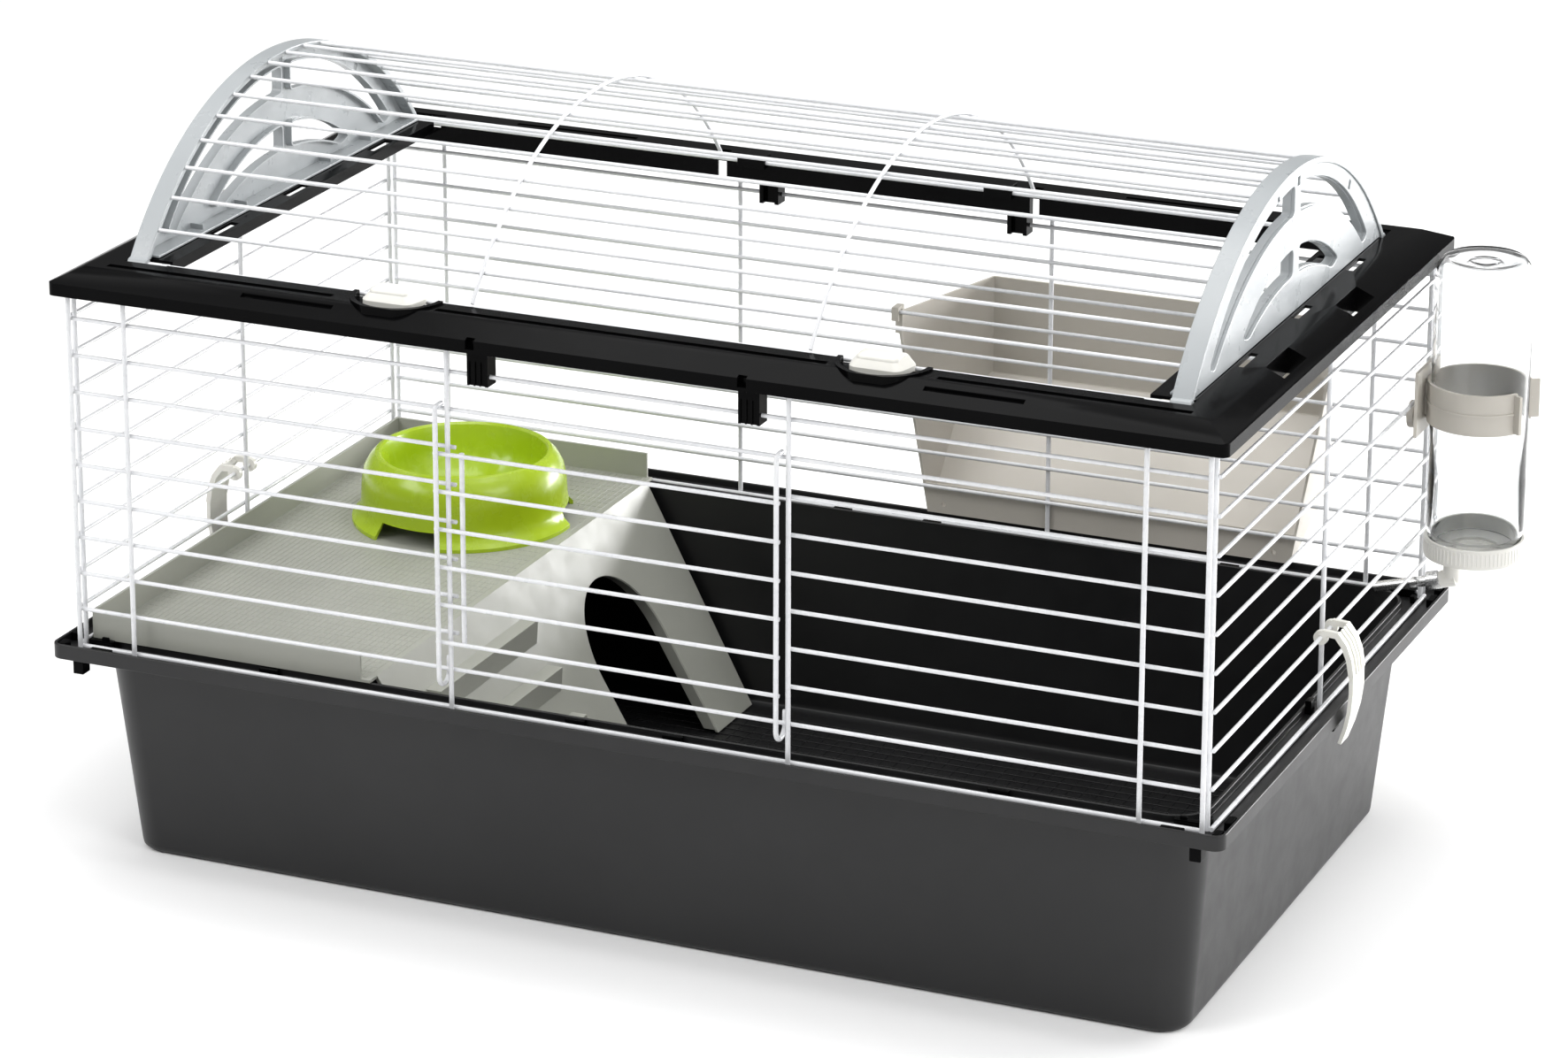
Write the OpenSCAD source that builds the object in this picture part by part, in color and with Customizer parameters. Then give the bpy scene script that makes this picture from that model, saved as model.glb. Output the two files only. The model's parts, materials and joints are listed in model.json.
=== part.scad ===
// Wire rabbit cage on a plastic tub, with a domed roof that lifts, a drop-down front
// door, a platform house, a food bowl, a hay feeder and a water bottle.
// X runs along the cage, Y from front to back, Z up. The origin is the middle of the
// tub's underside.

/* [Tub] */
// Length over the rim
rim_l = 960; // [900:1:1020]
// Width over the rim
rim_w = 562; // [540:1:600]
// Height of the rim's top edge
rim_z = 182; // [170:1:200]
// Length of the flat base
base_l = 876; // [840:1:900]
// Width of the flat base
base_w = 478; // [450:1:500]
// Thickness of the moulded walls
tub_wall = 2.6; // [2:0.1:4]

/* [Wire panels] */
// Distance from the middle to the end panels
panel_x = 464; // [460:0.5:466]
// Distance from the middle to the long panels
panel_y = 265; // [262:0.5:266]
// Height of the topmost long wire
wire_top = 444.2; // [440:0.1:450]
// Distance between neighbouring wires
wire_pitch = 29.5; // [29:0.1:30]
// Diameter of the thin wires
wire_d = 3.2; // [2.8:0.1:3.4]
// Diameter of the posts and the bottom wires
post_d = 3.9; // [3.6:0.1:4]

/* [Front door] */
// Distance from the middle to the posts beside the door
door_post_x = 138; // [130:1:145]
// Number of wires in the door
door_wires = 6; // [4:1:6]

/* [Top frame] */
// Length over the frame
frame_l = 948; // [940:1:952]
// Width over the frame
frame_w = 552; // [548:1:556]
// Height of the frame's flat top
frame_z = 484; // [480:1:490]
// Width of the front and back rails
rail_w = 47; // [45:1:48]
// Width of the end rails, with the ledge that the roof stands on
ledge_w = 78; // [76:1:80]

/* [Domed roof] */
// Height of the top wire above the frame
dome_h = 113.5; // [100:0.5:130]
// Distance from the middle to the hinge rod
rod_y = 225.5; // [225:0.1:226]
// Diameter of the two long rods
rod_d = 3.6; // [3:0.1:4]
// Gaps between wires from a rod to the top
dome_gaps = 9; // [7:1:11]
// Width of the plastic end arches
arch_w = 16; // [15:1:17]

/* [Platform house] */
// Position of the platform's right edge
deck_x = -214; // [-230:1:-200]
// Position of the foot of the slope
foot_x = -110; // [-120:1:-100]
// Radius of the doorway's arch
doorway_r = 60; // [50:1:64]

/* [Food bowl] */
// Radius of the bowl's base
bowl_r = 93; // [85:1:95]
// Height of the bowl
bowl_h = 58; // [50:1:62]

/* [Hay feeder] */
// Width of the feeder along the panel
feeder_w = 378; // [360:1:384]
// Depth of the feeder at its top
feeder_d = 129; // [110:1:135]

/* [Water bottle] */
// Radius of the bottle
bottle_r = 38.5; // [35:0.5:39]
// Height of the bottle's upturned base
bottle_top = 476; // [460:1:485]

/* [Hidden] */

$fn = 48;
eps = 0.01;
wire_r = wire_d / 2;
post_r = post_d / 2;

// tub
wall_l = rim_l - 52;
wall_w = rim_w - 52;
flange_z = rim_z - 6.5;
lip_z = rim_z - 1;
rim_drop = 12;
rim_r = 9;

// panels: nine thin wires, then the thick bottom wire that rests on the tub's rim
long_wires = 9;
bottom_wire_z = flange_z + post_r + 0.05;
post_out = wire_r + post_r - 0.1;
post_top = 473.2;
post_bottom = flange_z + 0.1;
corner_x = panel_x - 4;
corner_y = panel_y - 4;
outer_post_x = 412;
function wire_z(i) = wire_top - i * wire_pitch;

// door, hung on the ninth wire and hooked over the second
door_hinge_z = wire_z(8);
door_catch_z = wire_z(1);
door_wire_y = -(panel_y + post_out + post_r + 0.35 + wire_r);
door_rod_y = door_wire_y - wire_r - post_r + 0.1;
door_rod_left = -door_post_x - 6.5;
door_rod_right = door_post_x - 6.5;
door_low_z = door_hinge_z + 23.5;
hook_bend = 8.4;

// frame
skirt_z = frame_z - 20;
skirt_top = frame_z - 10;
slope_w = 22;
plate_t = 2.5;
latch_x = 197;
recess_r = 33;
cap_x = 108;

// dome: wires lie on a circle that passes through both rods
rod_z = frame_z - 2.5;
rod_r = rod_d / 2;
dome_r = (rod_y * rod_y + dome_h * dome_h) / (2 * dome_h);
dome_cz = rod_z + dome_h - dome_r;
dome_half = asin(rod_y / dome_r);
ledge_in = frame_l / 2 - ledge_w;
arch_in = ledge_in + 18;
arch_out = arch_in + arch_w;
web_in = arch_in + 10.5;
web_t = 4;
band_r = dome_r - 2.6;
band_t = 4.6;
web_z = frame_z + 0.4;
hoop_r = 1.6;
hoop_x = 137;
swing_y = rod_y + 16;

// house
deck_z = rim_z + 1.7;
sheet_t = 2.5;
deck_left = -456;
deck_y = 256;
tray_z = rim_z + 23;
slope_top_y = 245;
slope_foot_y = 229;
doorway_y = 100;
doorway_z = 88;
step_y0 = -194;
step_y1 = -24;
step_rise = 37;
step_out = 13;

// bowl
bowl_x = -316;
bowl_y = 107;

// feeder
feeder_x = 189;
feeder_y = 271;
feeder_top = 353;
feeder_low = rim_z + 1.5;
feeder_t = 2.2;
feeder_end_in = 37;
hook_wire_z = wire_z(3);

// bottle: hangs upside down beside the right panel
bottle_x = 512;
bottle_y = 228;
cap_z = 231;
cap_h = 16;
neck_z = 240;
spout_tilt = 15;
spout_x = 497;
spout_z = 208.8;
ring_z0 = 342;
ring_h = 33;
nut_z = hook_wire_z - wire_pitch / 2;

// side clips: joints of the blade as x, z and half thickness, from the wire to the tip
clip_w = 28;
clip_path = [[1, 4, 1.8], [12.5, 3.2, 2.2], [18.5, -4.5, 2], [22.7, -15, 1.8], [24.9, -28, 1.7],
    [25.2, -42, 1.6], [23.7, -57, 1.6], [20.5, -71, 1.5], [15.8, -85, 1.4]];

module rounded(l, w, r) {
    union() {
        square([l - 2 * r, w], center = true);
        square([l, w - 2 * r], center = true);
        for (x = [-1, 1], y = [-1, 1]) {
            translate([x * (l / 2 - r), y * (w / 2 - r)])
                circle(r);
        }
    }
}

module slab(l, w, r, z, t) {
    translate([0, 0, z])
        linear_extrude(t)
            rounded(l, w, r);
}

// A ring of constant thickness: outer rounded rectangle less an inner one
module band_ring(l, w, r, t, z0, z1) {
    translate([0, 0, z0])
        linear_extrude(z1 - z0)
            difference() {
                rounded(l, w, r);
                rounded(l - 2 * t, w - 2 * t, r - t);
            }
}

module rod_x(x0, x1, y, z, r) {
    translate([x0, y, z])
        rotate([0, 90, 0])
            cylinder(r = r, h = x1 - x0);
}

module rod_y_axis(x, y0, y1, z, r) {
    translate([x, y0, z])
        rotate([-90, 0, 0])
            cylinder(r = r, h = y1 - y0);
}

module post(x, y, z0, z1, r) {
    translate([x, y, z0])
        cylinder(r = r, h = z1 - z0);
}

module mirror_x() {
    mirror([1, 0, 0])
        children();
}

// ---------------------------------------------------------------- tub

module tub_form(inset, z0) {
    hull() {
        slab(base_l - 12 - 2 * inset, base_w - 12 - 2 * inset, 20 - inset, z0, eps);
        slab(base_l + 0.6 - 2 * inset, base_w + 0.6 - 2 * inset, 26 - inset, z0 + 6, eps);
        slab(wall_l - 2 * inset, wall_w - 2 * inset, 30 - inset, flange_z + z0 / 20, eps);
    }
}

module tub() {
    color([0.2, 0.2, 0.21])
    union() {
        difference() {
            tub_form(0, 0);
            tub_form(tub_wall, tub_wall);
        }
        band_ring(wall_l, wall_w, 30, tub_wall, flange_z - 3, lip_z);
        translate([0, 0, flange_z - plate_t])
            linear_extrude(plate_t)
                difference() {
                    rounded(rim_l, rim_w, rim_r);
                    rounded(wall_l - 2, wall_w - 2, 29);
                }
        band_ring(rim_l, rim_w, rim_r, plate_t, rim_z - rim_drop, rim_z);
        for (i = [-17 : 17]) {
            translate([-base_l / 2 + 30, i * 12.5 - 0.8, tub_wall - 0.5])
                cube([base_l - 60, 1.6, 1.3]);
        }
    }
}

// Small hooks on the rim's floor that hold the bottom wires down
module rim_hook(along, across, h) {
    translate([-along / 2, 0.15, flange_z + 0.05])
        cube([along, across, h]);
}

module rim_hooks() {
    gap = panel_y - post_r - 0.5 - wall_w / 2;
    color([0.1, 0.1, 0.1])
    for (x = [-300, -40, 40, 300]) {
        translate([x, -wall_w / 2, 0])
            mirror([0, 1, 0])
                rim_hook(16, gap - 3, 5.2);
        translate([x, wall_w / 2, 0])
            rim_hook(16, gap - 3, 5.2);
    }
    // a taller hook on the right, beside the side clip
    color([0.1, 0.1, 0.1])
    translate([wall_l / 2, -12, 0])
        rotate([0, 0, -90])
            rim_hook(9, gap - 2.4, 11);
}

// Stiffening tabs under the rim beside each corner, and lugs under the side clips
module corner_tabs() {
    color([0.1, 0.1, 0.1])
    for (x = [-1, 1]) {
        for (y = [-1, 1]) {
            translate([x * 458 - 4.5, y * 271.5 - 5.5, rim_z - rim_drop - 12])
                cube([9, 11, flange_z - plate_t - 0.05 - rim_z + rim_drop + 12]);
        }
        translate([x * 471 - 4, -8, rim_z - rim_drop - 9])
            cube([8, 14, flange_z - plate_t - 0.05 - rim_z + rim_drop + 9]);
    }
}

// ---------------------------------------------------------------- top frame

module rail_profile(w, inner_z) {
    polygon([[0, skirt_z], [0, skirt_top], [slope_w, frame_z], [w, frame_z],
        [w, inner_z], [w - plate_t, inner_z], [w - plate_t, frame_z - plate_t],
        [slope_w + 0.5, frame_z - plate_t], [plate_t, skirt_top - 1.7], [plate_t, skirt_z]]);
}

module long_rail() {
    intersection() {
        translate([-frame_l / 2, -frame_w / 2, 0])
            rotate([90, 0, 90])
                linear_extrude(frame_l)
                    rail_profile(rail_w, skirt_z);
        translate([0, 0, skirt_z - 1])
            linear_extrude(30)
                polygon([[-frame_l / 2, -frame_w / 2], [frame_l / 2, -frame_w / 2],
                    [frame_l / 2 - rail_w, -frame_w / 2 + rail_w],
                    [-frame_l / 2 + rail_w, -frame_w / 2 + rail_w]]);
    }
}

module end_rail() {
    intersection() {
        translate([-frame_l / 2, frame_w / 2, 0])
            rotate([90, 0, 0])
                linear_extrude(frame_w)
                    rail_profile(ledge_w, skirt_top + 1);
        translate([0, 0, skirt_z - 1])
            linear_extrude(30)
                polygon([[-frame_l / 2, -frame_w / 2], [-frame_l / 2 + rail_w, -frame_w / 2 + rail_w],
                    [-ledge_in, -frame_w / 2 + rail_w], [-ledge_in, frame_w / 2 - rail_w],
                    [-frame_l / 2 + rail_w, frame_w / 2 - rail_w], [-frame_l / 2, frame_w / 2]]);
    }
}

// Windows and slots of an end rail; margin makes them larger for their collars
module rail_windows(margin) {
    for (y = [-102, 61]) {
        translate([arch_out + 21 - margin, y - 26 - margin, skirt_z])
            cube([15 + 2 * margin, 52 + 2 * margin, 30]);
    }
}

module rail_slots() {
    for (y = [-117, 10, 142]) {
        translate([arch_out + 0.8, y - 17, skirt_z])
            cube([6, 34, 30]);
    }
    for (y = [-124, -7, 137]) {
        translate([ledge_in + 4.5, y - 17, skirt_z])
            cube([7.5, 34, 30]);
    }
}

// Walls that run down from the edges of the windows
module window_collars() {
    intersection() {
        rail_windows(1.6);
        translate([frame_l / 2, -frame_w / 2, 0])
            rotate([90, 0, 180])
                linear_extrude(frame_w)
                    polygon([[0, skirt_z], [0, skirt_top], [slope_w, frame_z - 0.3],
                        [ledge_w, frame_z - 0.3], [ledge_w, skirt_z]]);
    }
}

module latch_recess(x) {
    translate([x, -frame_w / 2 + rail_w, frame_z - 3.4])
        cylinder(r = recess_r, h = 10);
}

module top_frame() {
    color([0.06, 0.06, 0.065])
    difference() {
        union() {
            long_rail();
            mirror([0, 1, 0])
                long_rail();
            end_rail();
            mirror_x()
                end_rail();
            window_collars();
            mirror_x()
                window_collars();
            // ears beside the latches
            for (x = [-latch_x, latch_x]) {
                intersection() {
                    translate([x, -frame_w / 2 + rail_w, frame_z - 6])
                        cylinder(r = recess_r + 4, h = 7.6);
                    translate([x - 50, -frame_w / 2 + slope_w - 10, frame_z - 20])
                        cube([100, rail_w - slope_w + 10, 30]);
                }
            }
        }
        for (x = [-latch_x, latch_x]) {
            latch_recess(x);
        }
        // pockets for the feet of the roof's end arches, longer at the back, where the
        // arches swing down
        for (x = [-1, 1]) {
            translate([x * (ledge_in + arch_out) / 2 - (arch_out - ledge_in) / 2 - 1, 0, rod_z - 5.3])
                union() {
                    translate([0, -rod_y - 5.5, 0])
                        cube([arch_out - ledge_in + 2, 12, 20]);
                    translate([0, rod_y - 7, 0])
                        cube([arch_out - ledge_in + 2, swing_y - rod_y + 7, 20]);
                }
        }
        // notches that the roof's hoops swing down into
        for (x = [-hoop_x, hoop_x]) {
            translate([x - 4, frame_w / 2 - rail_w - 1, skirt_z])
                cube([8, swing_y - frame_w / 2 + rail_w + 1, 30]);
        }
        for (side = [0, 1]) {
            mirror([side, 0, 0])
                union() {
                    rail_windows(0);
                    rail_slots();
                }
        }
        // long grooves beside the inner edge of the front rail
        for (span = [[-437, -244], [-158, 158], [244, 437]]) {
            translate([span[0], -frame_w / 2 + 27, frame_z - 1.8])
                cube([span[1] - span[0], 6.5, 5]);
        }
        // shallow slots on the slope that end in a small through hole
        for (x = [-313, 240]) {
            translate([x, -frame_w / 2 + 12, skirt_top + 4.9])
                cube([77, 4.5, 8]);
            translate([x + 2, -frame_w / 2 + 12, skirt_top - 5])
                cube([6, 4.5, 20]);
        }
        // long slots in the back rail
        for (x = [-330, 210]) {
            translate([x, frame_w / 2 - 36, frame_z - 10])
                cube([110, 5, 20]);
        }
        // snap windows in the front skirt
        for (x = [-112, 107]) {
            translate([x - 6.5, -frame_w / 2 - 1, skirt_top - 7])
                cube([7, 7, 8.5]);
        }
        // rounded corners on the outside of the skirt
        for (x = [0, 1], y = [0, 1]) {
            mirror([x, 0, 0])
                mirror([0, y, 0])
                    translate([frame_l / 2, frame_w / 2, skirt_z - 2])
                        difference() {
                            translate([-6, -6, 0])
                                cube([7, 7, 40]);
                            translate([-6, -6, -1])
                                cylinder(r = 6, h = 42);
                        }
        }
    }
}

// A ribbed block that hangs from the frame and holds the top wire in a channel
module frame_clip() {
    difference() {
        translate([-8.5, -(panel_y + 4.7), wire_top - 7])
            cube([17, 14, post_top - wire_top + 6.5]);
        rod_x(-12, 12, -panel_y, wire_top, wire_r + 0.15);
        for (x = [-6.6, -1.8, 2.8]) {
            translate([x, -(panel_y + 5.7), wire_top - 8])
                cube([3.4, 2.2, 20]);
        }
        translate([-5, -(panel_y - 4.4), wire_top - 8])
            cube([10, 7, 26]);
    }
}

module frame_clips_front() {
    color([0.1, 0.1, 0.1])
    for (x = [-112, 107]) {
        translate([x, 0, 0])
            frame_clip();
    }
}

module frame_clips_back() {
    color([0.1, 0.1, 0.1])
    mirror([0, 1, 0])
    for (x = [-107, 112]) {
        translate([x, 0, 0])
            frame_clip();
    }
}

// ---------------------------------------------------------------- wire panels

// The long wires of one side, with the thick bottom wire
module long_wires_of(y) {
    for (i = [0 : long_wires - 1]) {
        rod_x(-corner_x, corner_x, y, wire_z(i), wire_r);
    }
    rod_x(-corner_x, corner_x, y, bottom_wire_z, post_r);
}

module front_wires() {
    color("white")
    for (i = [0 : long_wires - 1]) {
        if (i > 1 && i < long_wires - 1) {
            rod_x(-corner_x, -door_post_x + 5, -panel_y, wire_z(i), wire_r);
            rod_x(door_post_x - 1.5, corner_x, -panel_y, wire_z(i), wire_r);
        } else {
            rod_x(-corner_x, corner_x, -panel_y, wire_z(i), wire_r);
        }
    }
    color("white")
    rod_x(-corner_x, corner_x, -panel_y, bottom_wire_z, post_r);
}

module back_wires() {
    color("white")
    long_wires_of(panel_y);
}

module long_posts(y) {
    for (x = [corner_x, outer_post_x, door_post_x]) {
        post(x, y, post_bottom, post_top, post_r);
        post(-x, y, post_bottom, post_top, post_r);
    }
}

module front_posts() {
    color("white")
    long_posts(-panel_y - post_out);
}

module back_posts() {
    color("white")
    long_posts(panel_y + post_out);
}

module end_wires(x) {
    color("white")
    for (i = [0 : long_wires - 1]) {
        rod_y_axis(x, -corner_y + 1, corner_y - 1, wire_z(i), wire_r);
    }
    color("white")
    rod_y_axis(x, -corner_y + 1, corner_y - 1, bottom_wire_z, post_r);
}

module left_wires() {
    end_wires(-panel_x);
}

module right_wires() {
    end_wires(panel_x);
}

module end_posts(x) {
    color("white")
    for (y = [-corner_y + 2.5, 0, corner_y - 2.5]) {
        post(x, y, post_bottom, post_top - 0.3, post_r);
    }
}

module left_posts() {
    end_posts(-panel_x + post_out);
}

module right_posts() {
    end_posts(panel_x - post_out);
}

// ---------------------------------------------------------------- front door

module door_grille() {
    color("white")
    union() {
        for (i = [0 : door_wires - 1]) {
            rod_x(door_rod_left - 3.5, door_rod_right + 1, door_wire_y,
                door_low_z + i * wire_pitch * 1.015, wire_r);
        }
        post(-door_post_x + 12, door_wire_y + wire_r + post_r - 0.6, door_low_z - 1.4,
            door_low_z + (door_wires - 1) * wire_pitch * 1.015 + 1.4, post_r);
    }
}

// A rod that ends in an upturned hook under the hinge wire and a short hook over the
// second wire
module door_rod(x) {
    top_z = door_catch_z + wire_r + post_r + 0.4;
    low_z = door_hinge_z - 3.2;
    post(x, door_rod_y, low_z, top_z - 3, post_r);
    translate([x, door_rod_y + 3, top_z - 3])
        rotate([90, 0, 90])
            rotate([0, 0, 90])
                rotate_extrude(angle = 90)
                    translate([3, 0])
                        circle(post_r);
    translate([x, door_rod_y + 3, top_z])
        rotate([-90, 0, 0])
            cylinder(r = post_r, h = -panel_y - door_rod_y - 2.5);
    translate([x, door_rod_y + hook_bend, low_z])
        rotate([90, 0, 90])
            rotate([0, 0, 180])
                rotate_extrude(angle = 180)
                    translate([hook_bend, 0])
                        circle(post_r);
    post(x, door_rod_y + 2 * hook_bend, low_z, low_z + 11, post_r);
}

module door_rods() {
    color("white")
    union() {
        door_rod(door_rod_left);
        door_rod(door_rod_right);
    }
}

// ---------------------------------------------------------------- roof

// Snap caps on the back rail that the rear rod turns in
module hinge_caps() {
    color([0.08, 0.08, 0.08])
    for (x = [-cap_x, cap_x]) {
        difference() {
            union() {
                translate([x - 12, rod_y - 4.6, rod_z - 4.4])
                    cube([24, frame_w / 2 - rail_w - 0.15 - rod_y + 4.6, 8.8]);
                translate([x - 9, rod_y, frame_z + 0.1])
                    cube([18, 16, 1.8]);
            }
            rod_x(x - 13, x + 13, rod_y, rod_z, rod_r + 0.06);
        }
    }
}

module roof_front_rod() {
    color("white")
    rod_x(-arch_out, arch_out, -rod_y, rod_z, rod_r);
}

module roof_rear_rod() {
    color("white")
    rod_x(-arch_out, arch_out, rod_y, rod_z, rod_r);
}

module roof_wires() {
    color("white")
    for (i = [1 - dome_gaps : dome_gaps - 1]) {
        a = i * dome_half / dome_gaps;
        rod_x(-arch_in + 0.05, arch_in - 0.05, dome_r * sin(a), dome_cz + dome_r * cos(a), wire_r);
    }
}

module roof_hoops() {
    color("white")
    for (x = [-hoop_x, hoop_x]) {
        translate([x, 0, dome_cz])
            rotate([90, 0, 90])
                rotate([0, 0, 90 - dome_half + 0.45])
                    rotate_extrude(angle = 2 * dome_half - 0.9, $fn = 96)
                        translate([dome_r + wire_r + hoop_r - 0.1, 0])
                            circle(hoop_r);
    }
}

// A circular segment standing on the web's base: half its chord and its height
module segment(half, h, z = 0) {
    r = (half * half + h * h) / (2 * h);
    intersection() {
        translate([0, z + h - r])
            circle(r, $fn = 96);
        translate([-half - 5, z])
            square([2 * half + 10, h + 5]);
    }
}

// The pierced web, drawn in the Y-Z plane with its base at zero
module web_shape() {
    base = web_z - dome_cz;
    difference() {
        intersection() {
            translate([0, -base])
                circle(band_r + 0.5, $fn = 96);
            translate([-rod_y - 4, 0])
                square([2 * rod_y + 8, 200]);
        }
        difference() {
            segment(188, 91, 8);
            segment(174, 69, 7);
            translate([1, 0])
                square([14, 200]);
        }
        difference() {
            segment(116, 40, 10);
            segment(98, 20, 9);
            translate([1, 0])
                square([14, 200]);
        }
        // slots where the band snaps together
        for (a = [-8, 2, 30]) {
            translate([0, -base])
                rotate(-a)
                    translate([-2.5, band_r - 11])
                        square([5, 7]);
        }
    }
}

module roof_end() {
    difference() {
        union() {
            translate([web_in, 0, web_z])
                rotate([90, 0, 90])
                    linear_extrude(web_t)
                        web_shape();
            translate([arch_in, 0, 0])
                rotate([90, 0, 90])
                    linear_extrude(arch_w)
                        intersection() {
                            translate([0, dome_cz])
                                difference() {
                                    circle(band_r + band_t, $fn = 96);
                                    circle(band_r, $fn = 96);
                                }
                            translate([-300, web_z])
                                square([600, 300]);
                        }
            // base flange with gussets
            translate([web_in - 15, -rod_y + 9, web_z])
                cube([15.5, 2 * rod_y - 18, 2]);
            for (y = [-140, -70, 70, 140]) {
                translate([web_in, y + 1, web_z + 1.5])
                    rotate([90, 0, 0])
                        linear_extrude(2)
                            polygon([[0.5, 0], [0.5, 8], [-11, 0]]);
            }
            for (y = [-rod_y, rod_y]) {
                rod_x(arch_in, arch_out, y, rod_z, rod_r + 2.6);
            }
        }
        for (y = [-rod_y, rod_y]) {
            rod_x(arch_in - 1, arch_out + 1, y, rod_z, rod_r + 0.02);
        }
    }
}

module roof_end_right() {
    color([0.78, 0.82, 0.82])
    roof_end();
}

module roof_end_left() {
    color([0.78, 0.82, 0.82])
    mirror_x()
        roof_end();
}

// A lever that turns on the roof's front rod and lies in a recess of the frame
module latch(x) {
    translate([x, -rod_y, rod_z])
    difference() {
        union() {
            hull() {
                for (p = [[-14, -20], [14, -20], [-17, -6], [17, -6]]) {
                    translate([p[0], p[1], 0.6])
                        cylinder(r = 7, h = 4, $fn = 32);
                    translate([p[0] * 0.75, p[1] * 0.85, 0.6])
                        cylinder(r = 5, h = 10.5, $fn = 32);
                }
            }
            rod_x(-10, 10, 0, 0, 3.2);
            translate([-10, -3, 0])
                cube([20, 6, 3]);
        }
        rod_x(-40, 40, 0, 0, rod_r + 0.06);
        translate([-16, -24, -1])
            cube([32, 16, 6]);
        for (x = [-25, 10.3]) {
            translate([x, -6, -4])
                cube([14.7, 12, 6.4]);
        }
    }
}

module latch_left() {
    color([0.86, 0.85, 0.8])
    latch(-latch_x);
}

module latch_right() {
    color([0.86, 0.85, 0.8])
    latch(latch_x);
}

// ---------------------------------------------------------------- side clips

// Direction of the blade at a joint, and the point beside the joint on its outer (1) or
// inner (-1) face
function clip_dir(i) =
    let (a = clip_path[max(i - 1, 0)], b = clip_path[min(i + 1, len(clip_path) - 1)])
    [b[0] - a[0], b[1] - a[1]] / norm([b[0] - a[0], b[1] - a[1]]);
function clip_face(i, side, grow) =
    let (d = clip_dir(i), t = side * (clip_path[i][2] + grow))
    [clip_path[i][0] - d[1] * t, clip_path[i][1] + d[0] * t];

// Strip of a clip between two of its joints, drawn in the X-Z plane about the wire that
// it turns on
module clip_strip(first, last, outer, inner) {
    polygon(concat([for (i = [first : last]) clip_face(i, 1, outer)],
        [for (i = [last : -1 : first]) clip_face(i, -1, inner)]));
}

module clip_slice(y, w) {
    translate([0, y + w, 0])
        rotate([90, 0, 0])
            linear_extrude(w)
                children();
}

module side_clip() {
    last = len(clip_path) - 1;
    translate([panel_x, 0, wire_z(7)])
    difference() {
        union() {
            clip_slice(-clip_w / 2, clip_w)
                clip_strip(1, last, 0, 0);
            // ears on the wire, one on each side of the post
            for (y = [-clip_w / 2 - 0.4, clip_w / 2 - 3.8]) {
                clip_slice(y, 4.2)
                    union() {
                        circle(r = wire_r + 4);
                        clip_strip(0, 4, 0.5, 0.3);
                    }
            }
            // grip ribs on the upper half
            for (y = [-7.3, -1.2, 4.9]) {
                clip_slice(y, 2.4)
                    clip_strip(1, 4, 1.3, -0.6);
            }
        }
        clip_slice(-clip_w / 2 - 2, clip_w + 4)
            circle(r = wire_r + 0.06);
        // the tip narrows
        for (side = [0, 1]) {
            mirror([0, side, 0])
                rotate([90, 0, 90])
                    linear_extrude(40)
                        polygon([[clip_w / 2 + 0.1, -45], [clip_w / 2 + 5, -45],
                            [clip_w / 2 + 5, -95], [clip_w / 2 - 6.5, -95]]);
        }
    }
}

module side_clip_right() {
    color([0.85, 0.84, 0.79])
    side_clip();
}

module side_clip_left() {
    color([0.85, 0.84, 0.79])
    mirror_x()
        side_clip();
}

// ---------------------------------------------------------------- house and bowl

function slope_x(z) = deck_x + (deck_z - z) * (foot_x - deck_x) / (deck_z - tub_wall - 1.5);

module slope_step(z) {
    translate([0, step_y1, 0])
        rotate([90, 0, 0])
            linear_extrude(step_y1 - step_y0)
                polygon([[slope_x(z) - 1.5, z], [slope_x(z) + step_out, z],
                    [slope_x(z) + step_out, z - 3], [slope_x(z - 20) + 0.5, z - 20],
                    [slope_x(z - 20) - 1.5, z - 20]]);
}

module house() {
    foot_z = tub_wall + 1.5;
    color([0.83, 0.82, 0.77])
    difference() {
        union() {
            // deck
            translate([deck_left, -deck_y, deck_z - sheet_t])
                cube([deck_x - deck_left, 2 * deck_y, sheet_t]);
            // walls of the tray
            translate([deck_left, -deck_y, deck_z - sheet_t])
                cube([sheet_t, 2 * deck_y, tray_z - deck_z + sheet_t]);
            translate([deck_left, -deck_y, deck_z - sheet_t])
                cube([deck_x - deck_left - 8, sheet_t, tray_z - deck_z + sheet_t]);
            translate([deck_left, deck_y - sheet_t, deck_z - sheet_t])
                cube([deck_x - deck_left - 4, sheet_t, tray_z - deck_z + sheet_t]);
            // slope, narrowing with the tub's walls
            intersection() {
                translate([0, 260, 0])
                    rotate([90, 0, 0])
                        linear_extrude(520)
                            polygon([[deck_x - 4, deck_z - sheet_t], [deck_x - 4, deck_z],
                                [deck_x, deck_z], [foot_x, foot_z], [foot_x - 3, foot_z],
                                [deck_x - 2, deck_z - sheet_t]]);
                translate([-300, 0, 0])
                    rotate([90, 0, 90])
                        linear_extrude(300)
                            polygon([[-slope_foot_y, 0], [slope_foot_y, 0],
                                [slope_top_y, deck_z + 5], [-slope_top_y, deck_z + 5]]);
            }
            for (i = [0 : 3]) {
                slope_step(deck_z - 27 - i * step_rise);
            }
        }
        // doorway through the slope
        translate([deck_x - 1, doorway_y, doorway_z])
            rotate([0, 90, 0])
                cylinder(r = doorway_r, h = 200, $fn = 96);
        translate([deck_x - 1, doorway_y - doorway_r, -1])
            cube([200, 2 * doorway_r, doorway_z + 1]);
    }
}

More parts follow.
